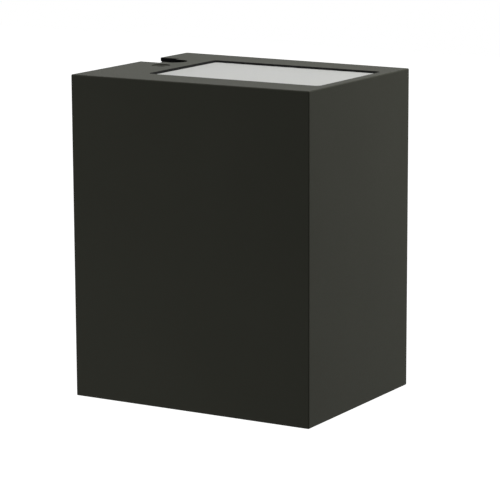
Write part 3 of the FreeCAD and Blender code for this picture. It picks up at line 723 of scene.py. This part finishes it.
zinc_screws = zinc_plating("zinc_plated_screws", stretch=(1500, 1500, 1500), roughness=(0.28, 0.42))
brass = mottled(
    "brass",
    dark=(0.5, 0.36, 0.13),
    light=(0.66, 0.49, 0.2),
    roughness=(0.22, 0.38),
    scale=1200,
    depth=0.01 * millimetre,
    metallic=1,
)
m3_finishes = {
    "cover_screws": stainless,
    "core_screws": zinc_screws,
    "terminal_fixing_screws": zinc_screws,
}
for node, finish in m3_finishes.items():
    hexagon_screws(node, finish, **m3_screw)
    print(node, len(solids_of(node)))
hexagon_screws("earth_screw", brass, **m4_screw)

# %% [markdown]
# ## The bracket
#
# The bracket is 2 mm steel sheet, cut, folded and zinc plated. Rolled sheet has long faint streaks along
# the strip, here along Z, so the same plating is stretched that way. The cut edges are tumbled to a small
# round.

# %% Wall bracket
sheet_edge = 0.25 * millimetre
zinc_sheet = zinc_plating("zinc_plated_sheet", stretch=(1100, 1100, 45), roughness=(0.3, 0.46))
softened("wall_bracket", zinc_sheet, sheet_edge)
print("bracket")

# %% [markdown]
# ## Bare aluminium
#
# The rear cover is a casting, tumbled and left unpainted, so it is grey and blotchy with a fine grain. The
# light core is cut from an extruded tube, whose faces carry straight die lines along its length.

# %% Rear cover and light core
cover_edge = 0.3 * millimetre
cast_dark = (0.45, 0.45, 0.45)
cast_light = (0.51, 0.51, 0.505)
cast_roughness = (0.46, 0.64)
cast_blotch_scale = 110
cast_grain_scale = 2400
cast_grain_depth = 0.05 * millimetre

cast_aluminium, tree, shader, place = new_material("cast_aluminium", cast_light, metallic=1)
blotches = remap(tree, noise(tree, place, cast_blotch_scale, detail=4), patch_range, whole_range)
vary_colour(tree, shader, blotches, cast_dark, cast_light)
tumbled = noise(tree, place, cast_grain_scale)
vary_roughness(tree, shader, tumbled, cast_roughness)
bump(tree, shader, tumbled, cast_grain_depth, strength=0.6)
softened("rear_cover", cast_aluminium, cover_edge)

extruded_aluminium = mottled(
    "extruded_aluminium",
    dark=grey(0.5),
    light=grey(0.6),
    roughness=(0.3, 0.5),
    scale=1,
    depth=0.02 * millimetre,
    metallic=1,
    stretch=(1600, 12, 1600),
)
softened("light_core", extruded_aluminium, cover_edge)
print("rear cover and light core")

# %% [markdown]
# ## Silicone sheet
#
# The cover's gasket is cut from grey silicone sheet and the driver lies on a blue-grey pad that carries its
# heat to the core. Both are matte and a little dusty. Only their cut edges show, with hardly any round.

# %% Cover gasket and thermal pad
cut_edge = 0.12 * millimetre
grey_silicone = mottled(
    "grey_silicone",
    dark=(0.16, 0.16, 0.16),
    light=(0.24, 0.24, 0.235),
    roughness=(0.55, 0.7),
    scale=350,
    depth=0.02 * millimetre,
)
pad_silicone = mottled(
    "pad_silicone",
    dark=(0.15, 0.19, 0.25),
    light=(0.2, 0.25, 0.31),
    roughness=(0.6, 0.75),
    scale=500,
    depth=0.03 * millimetre,
)
softened("cover_gasket", grey_silicone, cut_edge)
softened("driver_pad", pad_silicone, cut_edge)
print("silicone sheet")

# %% [markdown]
# ## The terminal block
#
# The block is light grey nylon with brass clamps and slotted screws of zinc-plated steel. Moulded nylon has
# soft edges and a faint ripple, and lets a little light into its surface. Subsurface scattering would show
# that, but on so small a part a paler colour does as well and renders faster. The earth lead ends in a lug
# of tinned copper.

# %% Terminal block, clamps, clamp screws and earth lug
clamp_edge = 0.15 * millimetre
terminal_nylon = mottled(
    "terminal_nylon",
    dark=(0.48, 0.48, 0.465),
    light=(0.56, 0.56, 0.54),
    roughness=(0.38, 0.5),
    scale=300,
    depth=0.02 * millimetre,
)
tinned_copper = mottled(
    "tinned_copper",
    dark=(0.5, 0.49, 0.47),
    light=(0.62, 0.61, 0.59),
    roughness=(0.2, 0.34),
    scale=700,
    depth=0.01 * millimetre,
    metallic=1,
)
softened("terminal_block", terminal_nylon, moulded_edge, segments=3)
softened("terminal_clamps", brass, clamp_edge)
softened("terminal_screws", zinc_screws, clamp_edge)
softened("earth_lug", tinned_copper, clamp_edge)
print("terminal block with", len(solids_of("terminal_clamps")), "clamps")

# %% [markdown]
# ## A lead
#
# The leads are stranded copper in PVC insulation, held at both ends. The CAD model has them as straight
# runs and arcs, which look like bent wire. A real lead bends smoothly, so each is a tube round a NURBS line
# that a few points draw. The curve's own round bevel makes the tube, and its end caps are joined to it
# before it goes into the piece. With bevel resolution 0 a tube has four sides, and each step adds two.

# %% Helpers for leads
lead_rings = 10
lead_sides = 16
insulation_shade = 0.8


def close_seams(mesh):
    """Joins the end caps to their tube, but not one tube to the next."""
    bm = bmesh.new()
    bm.from_mesh(mesh)
    bmesh.ops.remove_doubles(bm, verts=bm.verts, dist=weld_distance)
    bm.to_mesh(mesh)
    bm.free()


def lead_mesh(routes, radius):
    """One bmesh of round tubes, each along the smooth line of a route."""
    bm = bmesh.new()
    for route in routes:
        curve = bpy.data.curves.new("lead_line", "CURVE")
        curve.dimensions = "3D"
        curve.bevel_depth = radius
        curve.bevel_resolution = (lead_sides - 4) // 2
        curve.use_fill_caps = True
        spline = curve.splines.new("NURBS")
        spline.points.add(len(route) - 1)
        for point, place in zip(spline.points, route):
            point.co = (*place, 1)
        spline.order_u = 3
        spline.use_endpoint_u = True
        spline.resolution_u = lead_rings
        holder = bpy.data.objects.new("lead_line", curve)
        tube = bpy.data.meshes.new_from_object(holder)
        close_seams(tube)
        bm.from_mesh(tube)
        bpy.data.objects.remove(holder)
        bpy.data.curves.remove(curve)
        bpy.data.meshes.remove(tube)
    bmesh.ops.recalc_face_normals(bm, faces=bm.faces)
    return bm


def lead_finish(name, colour):
    """PVC insulation: semi-gloss, with a hardly visible shade of its colour."""
    return mottled(
        name,
        dark=tuple(insulation_shade * channel for channel in colour),
        light=colour,
        roughness=(0.3, 0.42),
        scale=600,
        depth=0.01 * millimetre,
    )


# %% [markdown]
# ## The mains leads
#
# The live and the neutral lead come up out of the elbow in the rear cover and go into clamps of the
# terminal block. The earth lead runs from its clamp down to the lug under the earth screw. Each lies
# between two corners of its CAD node's box: it leaves straight along Z, crosses over and arrives straight
# along Z, so four points are enough. The colours are those of house wiring: brown, blue, and green with a
# yellow stripe. The stripe is a run of the faces round the tube, which gets a second material.

# %% Mains leads in the wiring bay
mains_radius = 1.1 * millimetre
stripe_sides = 5
lead_brown = lead_finish("lead_brown", (0.13, 0.052, 0.02))
lead_blue = lead_finish("lead_blue", (0.02, 0.075, 0.3))
lead_green = lead_finish("lead_green", (0.035, 0.2, 0.03))
lead_yellow = lead_finish("lead_yellow", (0.62, 0.47, 0.03))


def mains_lead(node, *finishes, leaves, arrives, from_right=False, from_top=False):
    """A lead that turns sideways at one share of its height and straightens at the other."""
    low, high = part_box(node)
    left, right = low.x + mains_radius, high.x - mains_radius
    front, back = low.y + mains_radius, high.y - mains_radius
    start_x, end_x = (right, left) if from_right else (left, right)
    start, end = Vector((start_x, front, low.z)), Vector((end_x, back, high.z))
    if from_top:
        start, end = Vector((start_x, back, high.z)), Vector((end_x, front, low.z))
    height = end.z - start.z
    first = Vector((start.x, start.y, start.z + leaves * height))
    second = Vector((end.x, end.y, start.z + arrives * height))
    return add_piece(lead_mesh([[start, first, second, end]], mains_radius), node, *finishes)


mains_lead("neutral_lead", lead_blue, leaves=0.35, arrives=0.58, from_right=True)
mains_lead("live_lead", lead_brown, leaves=0.35, arrives=0.58)
earth = mains_lead("earth_lead", lead_green, lead_yellow, leaves=0.4, arrives=0.71, from_top=True)
for face in earth.data.polygons:
    if face.index % lead_sides < stripe_sides and len(face.vertices) == 4:
        face.material_index = 1
print("earth lead faces", len(earth.data.polygons))

# %% [markdown]
# ## The leads of the driver
#
# The driver's leads are flat twins: two black tubes side by side that fill the width of their node's box.
# Its mains lead runs straight back to the elbow. Its two output leads go forwards, turn up or down, and
# come back to the connector of their board.

# %% Leads of the driver
lead_black = lead_finish("lead_black", grey(0.018))


def twin_lead(node, run, radius):
    """Two tubes along a run of Y and Z, at the two sides of the node's box."""
    low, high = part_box(node)
    routes = [[(x, y, z) for y, z in run] for x in (low.x + radius, high.x - radius)]
    add_piece(lead_mesh(routes, radius), node, lead_black)


low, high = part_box("driver_leads")
middle = (low + high) / 2
twin_lead("driver_leads", [(y, middle.z) for y in (low.y, middle.y, high.y)], mains_radius)

connector_low, connector_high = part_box("board_connectors")
connector_y = (connector_low.y + connector_high.y) / 2
for node, upwards in (("board_lead_top", 1), ("board_lead_bottom", -1)):
    low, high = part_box(node)
    radius = (high.x - low.x) / 4
    near, far = (low.z, high.z) if upwards > 0 else (high.z, low.z)
    start_z, end_z = near + upwards * radius, far - upwards * radius
    turn_y = low.y + radius
    twin_lead(node, [(high.y, start_z), (turn_y, start_z), (turn_y, end_z), (connector_y, end_z)], radius)
print("three twin leads")

# %% [markdown]
# ## The LED boards
#
# Behind each window an aluminium-backed board with a white mask carries a grid of LEDs. Under the mask lie
# broad copper islands with thin gaps, which show as faint lines. A brick texture without its offset draws
# the islands, and its factor gives the gaps a faint relief.

# %% LED boards
board_edge = 0.1 * millimetre
mask_white = (0.7, 0.7, 0.68)
mask_shade = (0.69, 0.69, 0.67)
mask_gap = (0.6, 0.605, 0.585)
mask_roughness = (0.3, 0.42)
mask_scale = 900
copper_depth = 0.03 * millimetre
copper_grid = {"Scale": 100, "Brick Width": 1.0, "Row Height": 0.5, "Mortar Size": 0.025}

board_mask, tree, shader, place = new_material("board_mask", mask_white)
copper = tree.nodes.new("ShaderNodeTexBrick")
copper.offset = 0
for socket, number in copper_grid.items():
    copper.inputs[socket].default_value = number
for socket, colour in (("Color1", mask_white), ("Color2", mask_shade), ("Mortar", mask_gap)):
    copper.inputs[socket].default_value = (*colour, 1)
tree.links.new(place, copper.inputs["Vector"])
tree.links.new(copper.outputs["Color"], shader.inputs["Base Color"])
vary_roughness(tree, shader, noise(tree, place, mask_scale), mask_roughness)
bump(tree, shader, copper.outputs["Fac"], copper_depth)
for node in ("led_board_top", "led_board_bottom"):
    softened(node, board_mask, board_edge)
print("two boards")

# %% [markdown]
# ## The LEDs
#
# An LED is a white moulded frame with a sunk pool of yellow phosphor. It is only a few millimetres wide, so
# a cube whose outer face is inset and pushed down is enough, and 32 of them stay light.

# %% LEDs
led_frame_width = 0.35 * millimetre
phosphor_depth = 0.12 * millimetre
led_white = mottled(
    "led_frame",
    dark=(0.66, 0.66, 0.64),
    light=(0.74, 0.74, 0.72),
    roughness=(0.3, 0.4),
    scale=1500,
    depth=0.01 * millimetre,
)
phosphor = mottled(
    "led_phosphor",
    dark=(0.62, 0.4, 0.05),
    light=(0.74, 0.52, 0.1),
    roughness=(0.25, 0.4),
    scale=3500,
    depth=0.02 * millimetre,
)


def add_led(bm, low, high, outward):
    """One LED that fills a box and shines up, with outward 1, or down, with -1."""
    matrix = Matrix.Translation((low + high) / 2) @ Matrix.Diagonal((*(high - low), 1))
    verts = bmesh.ops.create_cube(bm, size=1, matrix=matrix)["verts"]
    faces = {face for vert in verts for face in vert.link_faces}
    window = max(faces, key=lambda face: outward * face.calc_center_median().z)
    bmesh.ops.inset_region(bm, faces=[window], thickness=led_frame_width)
    bmesh.ops.translate(bm, verts=window.verts, vec=(0, 0, -outward * phosphor_depth))
    window.material_index = 1


for node, outward in (("leds_top", 1), ("leds_bottom", -1)):
    bm = bmesh.new()
    for low, high in solids_of(node):
        add_led(bm, low, high, outward)
    bmesh.ops.recalc_face_normals(bm, faces=bm.faces)
    add_piece(bm, node, led_white, phosphor)
print("LEDs", 2 * len(solids_of("leds_top")))

# %% [markdown]
# ## Connectors and reflectors
#
# A small connector of natural nylon takes each board's lead, and a white funnel round the LEDs spreads
# their light over the glass. The funnel is moulded in a bright white plastic, of which the glass shows only
# the tone.

# %% Connectors and reflectors
natural_nylon = mottled(
    "connector_nylon",
    dark=(0.6, 0.58, 0.5),
    light=(0.68, 0.66, 0.58),
    roughness=(0.35, 0.48),
    scale=500,
    depth=0.01 * millimetre,
)
reflector_white = mottled(
    "reflector_white",
    dark=(0.79, 0.79, 0.78),
    light=(0.81, 0.81, 0.8),
    roughness=(0.25, 0.36),
    scale=120,
    depth=0.01 * millimetre,
)
softened("board_connectors", natural_nylon, cut_edge)
for node in ("reflector_top", "reflector_bottom"):
    softened(node, reflector_white, cut_edge)
print("connectors and reflectors")

# %% [markdown]
# ## The driver
#
# The driver is a potted supply in a white plastic case. The mould was etched, so the case has a fine matte
# texture, and its edges are rounder than those of the small parts.

# %% Driver
driver_edge = 0.6 * millimetre
driver_white = mottled(
    "driver_plastic",
    dark=(0.6, 0.6, 0.59),
    light=(0.68, 0.68, 0.67),
    roughness=(0.45, 0.6),
    scale=1600,
    depth=0.04 * millimetre,
)
softened("driver_case", driver_white, driver_edge, segments=3)
print("driver")

# %% [markdown]
# ## Floor and background
#
# The photograph has a white ground and no visible shadow. The lamp hangs on a wall, so the floor lies a
# metre and a half below it. To the camera, in reflections and through glass, the floor glows as white as
# the world behind it, so that no horizon shows. To light that scatters, the floor is dark and the world a
# weak grey, so that they don't brighten the box.

# %% Floor and background
floor_drop = 1.5
floor_half = 12.0
floor_white = 0.92
floor_roughness = 0.9
scattered_share = 0.12


def larger(tree, first, second):
    """The larger one of two numbers."""
    node = tree.nodes.new("ShaderNodeMath")
    node.operation = "MAXIMUM"
    tree.links.new(first, node.inputs[0])
    tree.links.new(second, node.inputs[1])
    return node.outputs[0]


def seen_directly(tree):
    """1 for rays from the camera, from a reflection or through glass, and 0 for scattered light."""
    path = tree.nodes.new("ShaderNodeLightPath").outputs
    mirrored = larger(tree, path["Is Camera Ray"], path["Is Glossy Ray"])
    return larger(tree, mirrored, path["Is Transmission Ray"])


def floor_finish():
    """A floor that glows as white as the world when it is seen, and is dark to scattered light."""
    material, tree, shader = new_material("floor", grey(floor_white), specular=0.0)[:3]
    shader.inputs["Roughness"].default_value = floor_roughness
    direct = seen_directly(tree)
    vary_colour(tree, shader, direct, grey(scattered_share), grey(floor_white))
    shader.inputs["Emission Color"].default_value = (1, 1, 1, 1)
    tree.links.new(direct, shader.inputs["Emission Strength"])
    return material


bm = bmesh.new()
bmesh.ops.create_grid(bm, x_segments=1, y_segments=1, size=floor_half)
bmesh.ops.translate(bm, vec=(0, 0, -floor_drop), verts=bm.verts)
floor = add_object("floor", mesh_from(bm, "floor"))
floor.data.materials.append(floor_finish())

world = bpy.data.worlds.new("white_room")
bpy.context.scene.world = world
world.use_nodes = True
tree = world.node_tree
sky = tree.nodes["Background"]
sky.inputs["Color"].default_value = (1, 1, 1, 1)
sky_strength = remap(tree, seen_directly(tree), whole_range, (scattered_share, 1))
tree.links.new(sky_strength, sky.inputs["Strength"])
bpy.context.scene.view_settings.view_transform = "Standard"
print("white room")

# %% [markdown]
# ## Lamps
#
# Three soft boxes light the object: a large one overhead, which makes the top the brightest face and the
# glass pale, a weaker one in front, high enough that the front darkens downwards, and a weak one from the
# left, near the wall, so that the dark side keeps its shape. Neither of the last two reaches the small
# chamfer between the front and the left side, so it draws a thin dark line there. Nothing mirrors these
# two, because a pane or the zinc bracket would show them as white patches from behind.

# %% Lamps
light_target = Vector((0, -0.06, 0))


def softbox(name, place, size, power, mirrored=True):
    """A rectangular lamp, in metres and watts, that faces the object. The camera never sees it."""
    data = bpy.data.lights.new(name, "AREA")
    data.shape = "RECTANGLE"
    data.size, data.size_y = size
    data.energy = power
    lamp = add_object(name, data)
    lamp.location = place
    lamp.rotation_euler = (light_target - Vector(place)).to_track_quat("-Z", "Y").to_euler()
    lamp.visible_camera = False
    lamp.visible_glossy = mirrored


softbox("overhead", place=(0.1, -0.2, 1.6), size=(1.4, 1.4), power=16)
softbox("front", place=(0.45, -0.5, 0.35), size=(0.4, 0.4), power=3.85, mirrored=False)
softbox("left_fill", place=(-0.48, 0.4, -0.3), size=(0.7, 0.5), power=1.95, mirrored=False)
print("lamps", len(bpy.data.lights))
